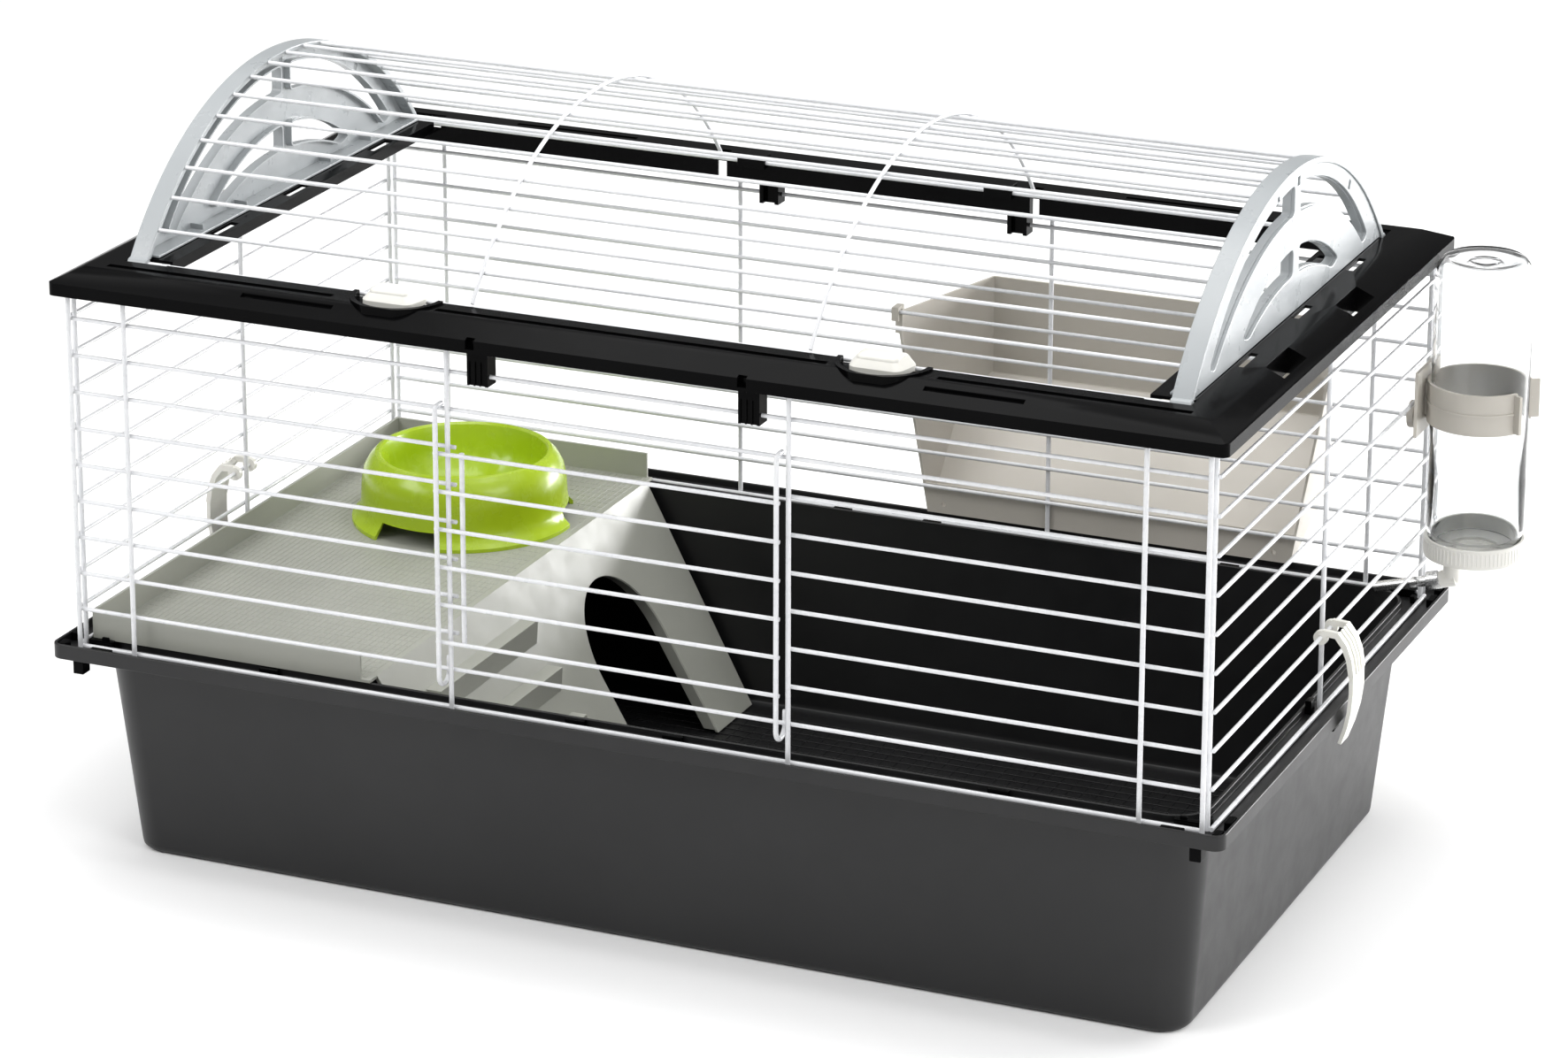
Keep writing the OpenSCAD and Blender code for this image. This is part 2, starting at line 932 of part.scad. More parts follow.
module bowl() {
    color([0.68, 0.8, 0.1])
    translate([bowl_x, bowl_y, deck_z + 0.05])
    difference() {
        rotate_extrude($fn = 96)
            difference() {
                polygon([[0, 8], [0, 11], [30, 11.5], [50, 18], [62, 32], [66.5, bowl_h - 6],
                    [68, bowl_h - 1.5], [70, bowl_h], [73, bowl_h - 0.6], [78, bowl_h - 6],
                    [82.5, bowl_h - 14], [84.5, bowl_h - 24], [85.5, 16], [87.5, 9],
                    [bowl_r, 3], [bowl_r, 0], [bowl_r - 2.5, 0], [bowl_r - 4, 2.6], [85, 7],
                    [82.8, 16], [81.8, bowl_h - 26], [79.6, bowl_h - 15], [75.4, bowl_h - 8],
                    [71.5, bowl_h - 3.5], [69, bowl_h - 8], [64.4, 30], [52, 15.6], [31, 8.8]]);
            }
        // three finger notches in the base
        for (a = [-97, 23, 143]) {
            rotate([0, 0, a])
                translate([60, 0, 0])
                    rotate([0, 90, 0])
                        intersection() {
                            cylinder(r = 29, h = 50);
                            translate([-14, -40, -1])
                                cube([28, 80, 60]);
                        }
        }
    }
}

// ---------------------------------------------------------------- hay feeder

module feeder_plan(inset) {
    half = feeder_w / 2 - inset;
    polygon([[-half, -5], [half, -5], [half, 0],
        [half - feeder_end_in * (feeder_d - inset) / feeder_d, feeder_d - inset],
        [-half + feeder_end_in * (feeder_d - inset) / feeder_d, feeder_d - inset], [-half, 0]]);
}

module feeder_side(inset) {
    if (inset == 0) {
        polygon([[0, 0], [5.8, 0], [feeder_d - 4, 83], [feeder_d + 5, 83],
            [feeder_d + 5, 250], [0, 250]]);
    } else {
        polygon([[-6, 25], [inset, 25], [inset, inset + 0.2], [5.2, inset + 0.2],
            [feeder_d - 4 - inset, 83 + inset], [feeder_d + 5, 83 + inset],
            [feeder_d + 5, 250], [-6, 250]]);
    }
}

module feeder_solid(inset) {
    intersection() {
        translate([feeder_x, feeder_y, feeder_low - 1])
            linear_extrude(feeder_top - feeder_low + 1 + inset)
                feeder_plan(inset);
        translate([feeder_x - 250, feeder_y, feeder_low])
            rotate([90, 0, 90])
                linear_extrude(500)
                    feeder_side(inset);
        // the ends lean in towards the bottom
        translate([feeder_x, feeder_y + 200, feeder_low])
            rotate([90, 0, 0])
                linear_extrude(300)
                    polygon([[-feeder_w / 2 + 31 + inset, -2], [feeder_w / 2 - 31 - inset, -2],
                        [feeder_w / 2 - inset, feeder_top - feeder_low + 5],
                        [-feeder_w / 2 + inset, feeder_top - feeder_low + 5]]);
    }
}

// A hook at the feeder's upper corner, over the fourth wire of the back panel
module feeder_hook() {
    translate([feeder_w / 2 - 7, 0, hook_wire_z]) {
        translate([0, feeder_y - 1.2, -20])
            cube([6, 4, 20 + wire_r + 2.9]);
        translate([0, panel_y - wire_r - 2.6, wire_r + 0.3])
            cube([6, feeder_y - panel_y + wire_r + 5, 2.6]);
        translate([0, panel_y - wire_r - 2.6, -7])
            cube([6, 2.2, wire_r + 8]);
    }
}

module hay_feeder() {
    color([0.8, 0.78, 0.73])
    difference() {
        union() {
            difference() {
                feeder_solid(0);
                feeder_solid(feeder_t);
            }
            for (side = [0, 1]) {
                translate([feeder_x, 0, 0])
                    mirror([side, 0, 0])
                        feeder_hook();
            }
        }
        for (x = [-1, 1]) {
            translate([feeder_x + x * (feeder_w / 2 - 45), feeder_y - 5, feeder_low + 8])
                rotate([-90, 0, 0])
                    cylinder(r = 2, h = 20);
        }
    }
}

// ---------------------------------------------------------------- water bottle

module at_bottle(z = 0) {
    translate([bottle_x, bottle_y, z])
        children();
}

module bottle() {
    color([0.85, 0.9, 0.93, 0.5])
    at_bottle()
        rotate_extrude($fn = 96) {
            difference() {
                polygon([[0, bottle_top - 4], [16, bottle_top - 3], [29, bottle_top],
                    [32, bottle_top - 1], [36, bottle_top - 6], [bottle_r, bottle_top - 16],
                    [bottle_r, neck_z + 12], [bottle_r - 2, neck_z + 9], [bottle_r - 2, neck_z - 4],
                    [bottle_r - 4, neck_z - 4], [bottle_r - 4, neck_z + 9.6],
                    [bottle_r - 1.8, neck_z + 13], [bottle_r - 1.8, bottle_top - 16.4],
                    [34.4, bottle_top - 7.6], [31, bottle_top - 3.4], [29, bottle_top - 2.2],
                    [16, bottle_top - 5.2], [0, bottle_top - 6]]);
            }
        }
}

module bottle_cap() {
    color([0.86, 0.85, 0.82])
    at_bottle(cap_z)
        difference() {
            cylinder(r = 39.6, h = cap_h, $fn = 96);
            translate([0, 0, 2.4])
                cylinder(r = bottle_r - 1.7, h = cap_h, $fn = 96);
            translate([-17, 0, -1])
                cylinder(r = 5, h = 5);
        }
}

// Silicone seal that the bottle's mouth is pressed on
module cap_seal() {
    color([0.8, 0.82, 0.82])
    at_bottle(cap_z + 2.45)
        difference() {
            cylinder(r = bottle_r - 2.2, h = 2.2, $fn = 96);
            translate([0, 0, -1])
                cylinder(r = 22, h = 5);
        }
}

module along_spout(d = 0) {
    translate([spout_x, bottle_y, spout_z])
        rotate([0, -90 - spout_tilt, 0])
            translate([0, 0, d])
                children();
}

// Elbow under the cap: a stub up into the cap and a nozzle towards the cage
module spout_nozzle() {
    color([0.86, 0.85, 0.82])
    difference() {
        union() {
            translate([bottle_x - 17, bottle_y, spout_z])
                cylinder(r = 7, h = cap_z - spout_z - 0.05);
            translate([bottle_x - 17, bottle_y, cap_z - 1])
                cylinder(r = 4.9, h = 5.5);
            along_spout(-2)
                cylinder(r = 7, h = 13);
            translate([bottle_x - 17, bottle_y, spout_z])
                sphere(r = 7);
        }
        translate([bottle_x - 17, bottle_y, spout_z])
            cylinder(r = 3, h = 40);
        along_spout(-2)
            cylinder(r = 3, h = 40);
    }
}

module spout_collar() {
    color([0.75, 0.75, 0.75])
    along_spout(11.05)
        difference() {
            cylinder(r = 7.4, h = 11);
            translate([0, 0, -1])
                cylinder(r = 3, h = 20);
        }
}

module spout_tube() {
    color([0.75, 0.75, 0.75])
    along_spout(22.1)
        difference() {
            cylinder(r = 4.3, h = 45);
            translate([0, 0, -1])
                cylinder(r = 3.2, h = 44);
            cylinder(r = 2.2, h = 60);
        }
}

module spout_ball() {
    color([0.8, 0.8, 0.8])
    along_spout(22.1 + 40.55)
        sphere(r = 2.95);
}

// Split ring that holds the bottle, with a plate on the outside of the right panel
module bottle_ring() {
    color([0.78, 0.76, 0.72])
    difference() {
        union() {
            at_bottle(ring_z0)
                cylinder(r = bottle_r + 2.9, h = ring_h, $fn = 96);
            at_bottle(ring_z0 + ring_h / 2 - 1)
                cylinder(r = bottle_r + 3.7, h = 2, $fn = 96);
            translate([panel_x + wire_r + 2.75, bottle_y - 12, ring_z0 + 3])
                cube([8, 20, ring_h - 6]);
            translate([panel_x + wire_r + 3, bottle_y - 33, ring_z0 - 10])
                cube([2.6, 50, ring_h + 20]);
            rotate_lip(1);
            rotate_lip(-1);
        }
        at_bottle(ring_z0 - 1)
            cylinder(r = bottle_r + 0.35, h = ring_h + 2, $fn = 96);
        at_bottle(ring_z0 - 1)
            linear_extrude(ring_h + 2)
                polygon([[0, 0], [80, -46], [80, 46]]);
        translate([panel_x - 5, bottle_y - 2, nut_z])
            rotate([0, 90, 0])
                cylinder(r = 3, h = 14);
    }
}

// Flared end of the split ring
module rotate_lip(s) {
    at_bottle(ring_z0 + 1)
        rotate([0, 0, s * 33])
            translate([bottle_r + 0.6, -1.3, 0])
                cube([9, 2.6, ring_h - 2]);
}

// Knob on the inside of the panel, screwed through to the ring's plate
module ring_nut() {
    color([0.78, 0.76, 0.72])
    translate([panel_x, bottle_y - 2, nut_z])
        rotate([0, 90, 0])
            union() {
                translate([0, 0, -wire_r - 6.2])
                    cylinder(r = 11, h = 5.8);
                translate([0, 0, -wire_r - 1])
                    cylinder(r = 2.95, h = 2 * wire_r + 5.6);
            }
}

tub();
rim_hooks();
corner_tabs();
top_frame();
frame_clips_front();
frame_clips_back();
front_wires();
front_posts();
back_wires();
back_posts();
left_wires();
left_posts();
right_wires();
right_posts();
door_grille();
door_rods();
hinge_caps();
roof_front_rod();
roof_rear_rod();
roof_wires();
roof_hoops();
roof_end_left();
roof_end_right();
latch_left();
latch_right();
side_clip_left();
side_clip_right();
house();
bowl();
hay_feeder();
bottle();
bottle_cap();
cap_seal();
spout_nozzle();
spout_collar();
spout_tube();
spout_ball();
bottle_ring();
ring_nut();
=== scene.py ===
"""Looks for the wire rabbit cage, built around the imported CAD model."""

import json
import math

import bmesh
import bpy
from mathutils import Matrix, Vector


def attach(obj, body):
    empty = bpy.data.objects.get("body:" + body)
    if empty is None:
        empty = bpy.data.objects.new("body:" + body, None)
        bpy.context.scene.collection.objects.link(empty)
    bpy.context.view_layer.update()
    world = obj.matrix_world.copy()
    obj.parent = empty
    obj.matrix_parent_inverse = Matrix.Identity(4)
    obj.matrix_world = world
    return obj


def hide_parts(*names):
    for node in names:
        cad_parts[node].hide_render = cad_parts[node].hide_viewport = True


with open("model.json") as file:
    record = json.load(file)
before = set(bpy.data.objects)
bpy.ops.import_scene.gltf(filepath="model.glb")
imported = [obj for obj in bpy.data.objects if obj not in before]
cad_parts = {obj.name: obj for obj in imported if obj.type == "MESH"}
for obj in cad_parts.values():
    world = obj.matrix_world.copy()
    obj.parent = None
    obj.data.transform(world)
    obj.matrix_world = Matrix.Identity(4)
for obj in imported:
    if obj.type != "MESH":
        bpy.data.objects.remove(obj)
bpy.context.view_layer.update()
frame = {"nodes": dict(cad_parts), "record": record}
NODE_BODY = {n: b for b, names in frame["record"]["behaviour"]["bodies"].items() for n in names}
NODE_SLOT = {s["node"]: s["material_slot"] for s in frame["record"]["subparts"]}

MM = 0.001  # lengths below are in millimetres unless a name or comment says otherwise
BOTTLE_AXIS = (512, 228)  # x and y of the bottle
BOTTLE_R, BOTTLE_TOP, BOTTLE_NECK = 38.5, 476, 240
CAP_FLOOR, CAP_R, CAP_Z = 233.35, 39.6, 239  # the bottle's cap: inner floor, outer radius, middle
TUB_FLOOR, RIB_PITCH = 2.4, 12.5
DECK_Z = 183.7  # top of the house's platform
FOOD_SPOT = (-316, 107, 96)  # x, y and radius of the smooth disc that the bowl stands on
SLOPE_X, SLOPE_RUN, SLOPE_FOOT = -214, 104, 4.1  # top edge, reach and lowest z of the house's slope
ROD_Y, ROD_Z = 225.5, 481.5  # the roof's front and rear rods
DOME_RISE = 113.5
DOME_R = (ROD_Y**2 + DOME_RISE**2) / (2 * DOME_RISE)
DOME_Z = ROD_Z + DOME_RISE - DOME_R
WEB_Z = 484.4  # lowest edge of the arches' webs
WEB_X, ARCH_X = 426.5, 422  # middles of the arches' webs and outer bands
ARCH_W = 16
LATCH_X = 197


# ---------------------------------------------------------------- materials


def new_material(name):
    """An empty node material with a Principled shader; returns it with its tree."""
    mat = bpy.data.materials.new(name)
    mat.use_nodes = True
    tree = mat.node_tree
    tree.nodes.clear()
    out = tree.nodes.new("ShaderNodeOutputMaterial")
    bsdf = tree.nodes.new("ShaderNodeBsdfPrincipled")
    tree.links.new(bsdf.outputs[0], out.inputs[0])
    return mat, tree, bsdf


def noise(tree, scale, detail=4.0, rough=0.55, stretch=(1, 1, 1)):
    """Noise in object coordinates, in features per metre; returns its value output."""
    co = tree.nodes.new("ShaderNodeTexCoord")
    mp = tree.nodes.new("ShaderNodeMapping")
    mp.inputs["Scale"].default_value = stretch
    tex = tree.nodes.new("ShaderNodeTexNoise")
    tex.inputs["Scale"].default_value = scale
    tex.inputs["Detail"].default_value = detail
    tex.inputs["Roughness"].default_value = rough
    tree.links.new(co.outputs["Object"], mp.inputs["Vector"])
    tree.links.new(mp.outputs[0], tex.inputs["Vector"])
    return tex.outputs["Fac"]


def cloudy(tree, value, dark, light):
    """A colour that drifts between two shades as a noise value does."""
    node = tree.nodes.new("ShaderNodeValToRGB")
    low, high = node.color_ramp.elements
    low.position, high.position = 0.3, 0.7
    low.color, high.color = (*dark, 1), (*light, 1)
    tree.links.new(value, node.inputs[0])
    return node.outputs[0]


def spread(tree, value, low, high):
    """Maps a noise value to a range."""
    node = tree.nodes.new("ShaderNodeMapRange")
    node.inputs["From Min"].default_value = 0.25
    node.inputs["From Max"].default_value = 0.75
    node.inputs["To Min"].default_value = low
    node.inputs["To Max"].default_value = high
    tree.links.new(value, node.inputs["Value"])
    return node.outputs[0]


def add_bump(tree, bsdf, layers):
    """Stacks bump layers of (value, strength, distance in metres)."""
    last = None
    for value, strength, distance in layers:
        bump = tree.nodes.new("ShaderNodeBump")
        bump.inputs["Strength"].default_value = strength
        bump.inputs["Distance"].default_value = distance
        tree.links.new(value, bump.inputs["Height"])
        if last is not None:
            tree.links.new(last, bump.inputs["Normal"])
        last = bump.outputs[0]
    tree.links.new(last, bsdf.inputs["Normal"])


def plastic(
    name, dark, light, rough, grain=900, grain_depth=0.00004, strength=0.25, coat=0.0, sss=0.0, spec=0.5
):
    """Moulded plastic: faint cloudy colour, fine grain, soft flow waves and patchy gloss."""
    mat, tree, bsdf = new_material(name)
    tree.links.new(cloudy(tree, noise(tree, 7, 3), dark, light), bsdf.inputs["Base Color"])
    tree.links.new(spread(tree, noise(tree, 40, 5), *rough), bsdf.inputs["Roughness"])
    flow = (noise(tree, 9, 2), 0.03, 0.001)
    add_bump(tree, bsdf, [flow, (noise(tree, grain, 3), strength, grain_depth)])
    bsdf.inputs["Specular IOR Level"].default_value = spec
    bsdf.inputs["Coat Weight"].default_value = coat
    bsdf.inputs["Coat Roughness"].default_value = 0.12
    if sss:
        bsdf.inputs["Subsurface Weight"].default_value = sss
        bsdf.inputs["Subsurface Radius"].default_value = (0.004, 0.004, 0.003)
        bsdf.inputs["Subsurface Scale"].default_value = 1.0
    return mat


def coated_wire(name):
    """White dipped wire: thick glossy coat with an orange-peel surface."""
    mat, tree, bsdf = new_material(name)
    coat = cloudy(tree, noise(tree, 30, 3), (0.66, 0.67, 0.69), (0.75, 0.755, 0.77))
    tree.links.new(coat, bsdf.inputs["Base Color"])
    tree.links.new(spread(tree, noise(tree, 120, 3), 0.22, 0.36), bsdf.inputs["Roughness"])
    add_bump(tree, bsdf, [(noise(tree, 500, 2), 0.25, 0.0001)])
    bsdf.inputs["Coat Weight"].default_value = 0.35
    bsdf.inputs["Coat Roughness"].default_value = 0.15
    return mat


def clear_plastic(name):
    """Blown clear bottle plastic with faint waves."""
    mat, tree, bsdf = new_material(name)
    tint = cloudy(tree, noise(tree, 15, 2), (0.93, 0.95, 0.96), (0.99, 0.99, 0.99))
    tree.links.new(tint, bsdf.inputs["Base Color"])
    bsdf.inputs["Transmission Weight"].default_value = 1.0
    bsdf.inputs["IOR"].default_value = 1.3
    tree.links.new(spread(tree, noise(tree, 60, 3), 0.0, 0.03), bsdf.inputs["Roughness"])
    add_bump(tree, bsdf, [(noise(tree, 25, 2, stretch=(1, 1, 0.4)), 0.3, 0.0006)])
    return mat


def brushed(name):
    """Turned steel with fine rings round the tube."""
    mat, tree, bsdf = new_material(name)
    bsdf.inputs["Metallic"].default_value = 1.0
    metal = cloudy(tree, noise(tree, 60, 4), (0.5, 0.5, 0.5), (0.72, 0.72, 0.71))
    tree.links.new(metal, bsdf.inputs["Base Color"])
    gloss = spread(tree, noise(tree, 300, 4, stretch=(8, 1, 1)), 0.18, 0.36)
    tree.links.new(gloss, bsdf.inputs["Roughness"])
    add_bump(tree, bsdf, [(noise(tree, 400, 3, stretch=(10, 1, 1)), 0.15, 0.00005)])
    return mat


MATS = {
    "tub_plastic": plastic(
        "tub_plastic",
        (0.006, 0.006, 0.0065),
        (0.01, 0.01, 0.0105),
        (0.34, 0.44),
        1400,
        grain_depth=0.00005,
        strength=0.3,
        spec=0.4,
    ),
    "black_plastic": plastic(
        "black_plastic", (0.0012, 0.0012, 0.0013), (0.0024, 0.0024, 0.0026), (0.12, 0.2), 1100, spec=0.04
    ),
    "white_wire": coated_wire("white_wire"),
    "grey_plastic": plastic(
        "grey_plastic", (0.33, 0.35, 0.362), (0.38, 0.4, 0.41), (0.24, 0.36), 800, coat=0.1
    ),
    "cream_plastic": plastic(
        "cream_plastic", (0.68, 0.67, 0.62), (0.76, 0.75, 0.7), (0.3, 0.45), 900, sss=0.06
    ),
    # The cream plastic darkened to about half and used on the house alone: painted shade, so the deck
    # inside the cage reads darker
    "shaded_house_plastic": plastic(
        "shaded_house_plastic", (0.35, 0.355, 0.315), (0.4, 0.405, 0.36), (0.3, 0.45), 900, sss=0.06
    ),
    "green_plastic": plastic(
        "green_plastic", (0.36, 0.52, 0.008), (0.44, 0.6, 0.015), (0.2, 0.32), 800, coat=0.2, sss=0.05
    ),
    "beige_plastic": plastic(
        "beige_plastic", (0.46, 0.435, 0.39), (0.53, 0.5, 0.45), (0.34, 0.48), 900, sss=0.08
    ),
    "clear_plastic": clear_plastic("clear_plastic"),
    "cap_plastic": plastic(
        "cap_plastic", (0.66, 0.65, 0.61), (0.74, 0.73, 0.69), (0.28, 0.4), 900, sss=0.06
    ),
    "seal_rubber": plastic(
        "seal_rubber", (0.5, 0.5, 0.47), (0.6, 0.6, 0.57), (0.4, 0.55), 1200, sss=0.1
    ),
    "steel": brushed("steel"),
}


# ---------------------------------------------------------------- mesh helpers


def add_object(name, mesh, body, slot, look=None):
    """Links a new piece, gives it its slot's material, or another look, and rides it on its body."""
    ob = bpy.data.objects.new(name, mesh)
    bpy.context.scene.collection.objects.link(ob)
    ob.data.materials.clear()
    ob.data.materials.append(MATS[look or slot])
    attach(ob, body)
    return ob


def finished_mesh(bm, name):
    """Turns a bmesh into a mesh of the given name and frees it."""
    mesh = bpy.data.meshes.new(name)
    bm.to_mesh(mesh)
    bm.free()
    return mesh


def smooth(mesh, angle=32):
    """Shades a mesh smooth, but sharp at edges steeper than angle."""
    mesh.shade_smooth()
    mesh.set_sharp_from_angle(angle=math.radians(angle))


def even_normals(ob):
    """Weights normals by face area, so that flat faces stay flat beside their rounded edges."""
    baked(ob, "WEIGHTED_NORMAL", {"keep_sharp": True, "weight": 100})


def baked(ob, kind, settings):
    """Applies one modifier and leaves a plain mesh."""
    mod = ob.modifiers.new(kind.lower(), kind)
    for key, value in settings.items():
        setattr(mod, key, value)
    deps = bpy.context.evaluated_depsgraph_get()
    mesh = bpy.data.meshes.new_from_object(ob.evaluated_get(deps))
    ob.modifiers.clear()
    old = ob.data
    ob.data = mesh
    bpy.data.meshes.remove(old)


def refine(node, bevel):
    """A finished copy of a CAD node: clean faces and rounded edges, standing for the node."""
    mesh = frame["nodes"][node].data.copy()
    bm = bmesh.new()
    bm.from_mesh(mesh)
    bmesh.ops.remove_doubles(bm, verts=bm.verts, dist=2e-6)
    bmesh.ops.dissolve_limit(
        bm, angle_limit=math.radians(0.4), verts=bm.verts, edges=bm.edges, use_dissolve_boundaries=False
    )
    bm.to_mesh(mesh)
    bm.free()
    # The house takes the darker copy of its cream plastic, which paints shade onto it
    look = "shaded_house_plastic" if node == "house" else None
    ob = add_object(node + "_part", mesh, NODE_BODY[node], NODE_SLOT[node], look)
    bevelled(ob, bevel, angle=35)
    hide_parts(node)


def rounded_loop(half_x, half_y, radius, z, corner=10, edge=8):
    """Points round a rounded rectangle at height z, the same count for every size."""
    pts = []
    for sx, sy, start in ((1, 1, 0), (-1, 1, 90), (-1, -1, 180), (1, -1, 270)):
        cx, cy = sx * (half_x - radius), sy * (half_y - radius)
        for i in range(corner + 1):
            a = math.radians(start + 90 * i / corner)
            pts.append(Vector((cx + radius * math.cos(a), cy + radius * math.sin(a), z)))
        # the straight edge on to where the next corner starts, a quarter turn round
        nx, ny = (-sy * (half_x - radius), sx * (half_y - radius))
        a = math.radians(start + 90)
        end = Vector((nx + radius * math.cos(a), ny + radius * math.sin(a), z))
        last = pts[-1]
        for i in range(1, edge):
            pts.append(last.lerp(end, i / edge))
    return pts


def loft(name, loops):
    """A mesh through loops of equally many points, closed at both ends."""
    bm = bmesh.new()
    rings = [[bm.verts.new(p * MM) for p in loop] for loop in loops]
    count = len(rings[0])
    for low, high in zip(rings, rings[1:]):
        for i in range(count):
            j = (i + 1) % count
            bm.faces.new((low[i], low[j], high[j], high[i]))
    bm.faces.new(list(reversed(rings[0])))
    bm.faces.new(rings[-1])
    bmesh.ops.recalc_face_normals(bm, faces=bm.faces)
    return finished_mesh(bm, name)


def lathe(name, profile, centre, steps=96):
    """A closed profile of (radius, z) turned about a vertical axis at centre."""
    bm = bmesh.new()
    rings = []
    for r, z in profile:
        if r == 0:
            rings.append([bm.verts.new((centre[0] * MM, centre[1] * MM, z * MM))])
            continue
        ring = []
        for i in range(steps):
            a = 2 * math.pi * i / steps
            x, y = centre[0] + r * math.cos(a), centre[1] + r * math.sin(a)
            ring.append(bm.verts.new((x * MM, y * MM, z * MM)))
        rings.append(ring)
    for low, high in zip(rings, rings[1:] + rings[:1]):
        for i in range(steps):
            j = (i + 1) % steps
            if len(low) == 1 and len(high) == 1:
                break
            if len(low) == 1:
                bm.faces.new((low[0], high[j], high[i]))
            elif len(high) == 1:
                bm.faces.new((low[i], low[j], high[0]))
            else:
                bm.faces.new((low[i], low[j], high[j], high[i]))
    bmesh.ops.recalc_face_normals(bm, faces=bm.faces)
    return finished_mesh(bm, name)


def boxes(name, items):
    """One mesh of boxes given as (low corner, high corner)."""
    bm = bmesh.new()
    for low, high in items:
        mid = (Vector(low) + Vector(high)) * MM / 2
        size = (Vector(high) - Vector(low)) * MM
        matrix = Matrix.Translation(mid) @ Matrix.Diagonal((*size, 1))
        bmesh.ops.create_cube(bm, size=1, matrix=matrix)
    return finished_mesh(bm, name)


def bevelled(ob, width, segments=2, angle=40):
    """Rounds a piece's edges to a width in metres."""
    settings = {
        "width": width,
        "segments": segments,
        "limit_method": "ANGLE",
        "angle_limit": math.radians(angle),
        "use_clamp_overlap": True,
    }
    baked(ob, "BEVEL", settings)
    smooth(ob.data)
    even_normals(ob)


def mirrored(mesh, name):
    """A copy of a mesh mirrored in X, with its faces turned out again."""
    copy = mesh.copy()
    copy.name = name
    copy.transform(Matrix.Diagonal((-1, 1, 1, 1)))
    copy.flip_normals()
    return copy


def rim_sockets():
    """The small moulded blocks at the four corners of the rim, as boxes."""
    corner = (
        ((436, 256.2, 175.4), (457, 261.6, 182.2)),
        ((440, 257.6, 182.0), (446, 260.4, 184.6)),
        ((430, 270.6, 175.4), (448, 277.2, 180.6)),
        ((469.8, 266, 175.4), (476, 276, 181.4)),
        ((471.2, 240, 175.4), (477, 254, 182.2)),
        ((456.5, 244, 175.4), (460.5, 250, 181.4)),
    )
    items = []
    for sx in (-1, 1):
        for sy in (-1, 1):
            for low, high in corner:
                xs = sorted((sx * low[0], sx * high[0]))
                ys = sorted((sy * low[1], sy * high[1]))
                items.append(((xs[0], ys[0], low[2]), (xs[1], ys[1], high[2])))
    return items


def make_tub():
    """The tub's shell, the ribs on its floor and the blocks on its rim."""
    # (half length, half width, corner radius, z) from the base, up the outside, over the rim and down
    profile = [
        (300, 120, 10, 0),
        (431.8, 232.8, 20, 0),
        (435.6, 236.6, 23, 1.2),
        (437.8, 238.8, 25, 3.6),
        (438.6, 239.6, 26, 7),
        (446, 247, 28, 90),
        (453.5, 254.5, 30, 171),
        (453.8, 254.8, 30, 173),
        (477.5, 278.5, 6.5, 173),
        (477.5, 278.5, 6.5, 170),
        (480, 281, 9, 170),
        (480, 281, 9, 182),
        (477.5, 278.5, 6.5, 182),
        (477.5, 278.5, 6.5, 175.5),
        (454, 255, 30, 175.5),
        (454, 255, 30, 181),
        (451.4, 252.4, 27.4, 181),
        (451, 252, 27.4, 172),
        (443.4, 244.4, 25.4, 90),
        (436.1, 237.1, 23.4, 9),
        (434.6, 235.6, 22.4, 5),
        (431, 232, 19, 3.1),
        (426, 227, 15, 2.6),
        (300, 120, 10, 2.6),
    ]
    loops = [rounded_loop(x, y, r, z) for x, y, r, z in profile]
    tub = add_object("tub_shell", loft("tub_shell", loops), "tub", "tub_plastic")
    bevelled(tub, 0.0007, 3)
    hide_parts("tub")
    ribs = []
    for i in range(-17, 18):
        y = i * RIB_PITCH
        ribs.append(((-408, y - 0.8, TUB_FLOOR), (408, y + 0.8, TUB_FLOOR + 1)))
    for i in range(-32, 33):
        x = i * RIB_PITCH
        ribs.append(((x - 0.5, -213, TUB_FLOOR), (x + 0.5, 213, TUB_FLOOR + 0.6)))
    floor = add_object("tub_floor_ribs", boxes("tub_floor_ribs", ribs), "tub", "tub_plastic")
    bevelled(floor, 0.0002, 1)
    blocks = boxes("rim_sockets", rim_sockets())
    bevelled(add_object("rim_sockets", blocks, "tub", "black_plastic"), 0.0008)


# ---------------------------------------------------------------- roof ends


def arc_points(half, height, base, steps=120):
    """A circular segment from -half to half over base, as (y, z) from left to right."""
    r = (half * half + height * height) / (2 * height)
    cz = base + height - r
    pts = []
    for i in range(steps + 1):
        y = -half + 2 * half * i / steps
        pts.append((y, cz + math.sqrt(max(r * r - y * y, 0))))
    return pts


def crescent(outer, inner, split, width):
    """Two closed outlines: a crescent between two arcs, divided by an upright rib.

    Each arc is (half width, height, base). The rib stands at split and is width wide.
    """
    tip = 3  # blunts the crescent's thin ends
    top = [p for p in arc_points(*outer) if abs(p[0]) < outer[0] - tip]
    low = arc_points(*inner)
    pieces = []
    for side in (-1, 1):
        edge = split + side * width / 2
        upper = [p for p in top if (p[0] - edge) * side > 0.5]
        lower = [p for p in low if (p[0] - edge) * side > 0.5]
        if side > 0:
            upper, lower = upper[::-1], lower[::-1]
        pieces.append(upper + [(edge, upper[-1][1]), (edge, lower[-1][1])] + lower[::-1])
    return pieces


def walk(loop, i, step, distance):
    """The point a given distance along the outline from corner i."""
    while True:
        k = (i + step) % len(loop)
        side = loop[k] - loop[i]
        if side.length >= distance:
            return loop[i] + side.normalized() * distance
        distance -= side.length
        i = k


